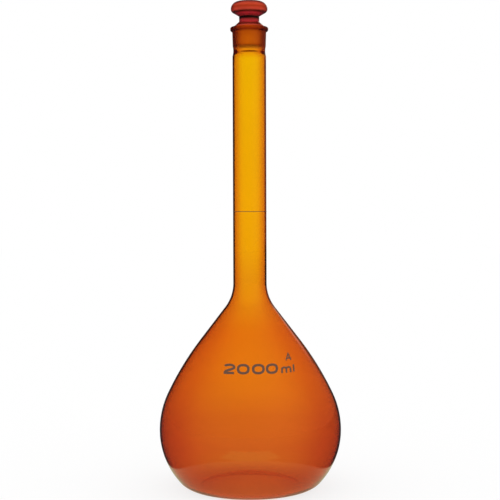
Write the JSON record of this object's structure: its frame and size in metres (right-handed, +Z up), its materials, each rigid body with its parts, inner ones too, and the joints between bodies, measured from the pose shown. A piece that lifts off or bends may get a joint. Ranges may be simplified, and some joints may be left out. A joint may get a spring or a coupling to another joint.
{
  "type": "volumetric flask",
  "caption": "Long-necked amber glass volumetric flask with a punted round bulb, a fired ring mark and a ground-in mushroom stopper that lifts out.",
  "frame": {"origin": "centre of the standing ring, on the table", "axes": "+Z up along the flask's axis of revolution, through the bulb, the neck and the stopper; +X and +Y are free, as the flask is round"},
  "size_m": [0.1602, 0.1602, 0.4267],
  "materials": {
    "amber_glass": "clear blown amber glass, polished",
    "ground_amber_glass": "amber glass with a finely ground, frosted bore",
    "ground_stopper_glass": "thick amber glass, finely ground and frosted",
    "deep_amber_glass": "thick pressed amber glass, fire-polished",
    "fired_enamel": "matt fired enamel line"
  },
  "bodies": {
    "flask": {"bulb": "amber_glass", "neck": "amber_glass", "ground_socket": "ground_amber_glass", "graduation_ring": "fired_enamel"},
    "stopper": {"stopper_plug": "ground_stopper_glass", "stopper_head": "deep_amber_glass"}
  },
  "joints": [
    {"name": "stopper_lift", "type": "slide", "parent": "flask", "child": "stopper", "axis": [0, 0, 1], "range_m": [0, 0.05]}
  ]
}
